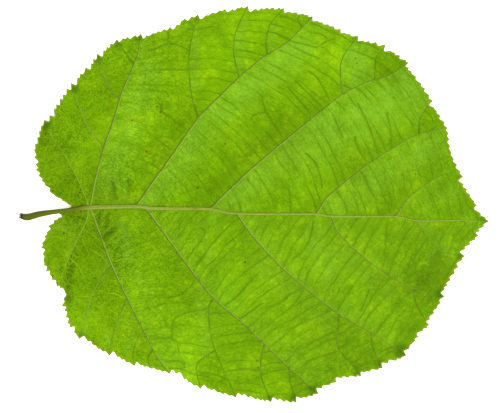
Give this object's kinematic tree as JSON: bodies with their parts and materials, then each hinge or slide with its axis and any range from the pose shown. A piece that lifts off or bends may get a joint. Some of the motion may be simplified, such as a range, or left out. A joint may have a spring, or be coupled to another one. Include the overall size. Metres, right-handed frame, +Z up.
{
  "type": "hazel leaf",
  "caption": "Broad green hazel leaf with toothed margin, raised ribs and a short stalk, lying with its underside up.",
  "frame": {"origin": "centre of the leaf's bounding box at the height of the surface it lies on", "axes": "+X from the stalk's cut end to the leaf's tip, +Z up, out of the ribbed underside, +Y across the blade"},
  "size_m": [0.1174, 0.0992, 0.0077],
  "materials": {
    "leaf": "matt, fresh green with paler ribs"
  },
  "bodies": {
    "root": {"hazel_leaf": "leaf"}
  },
  "joints": []
}
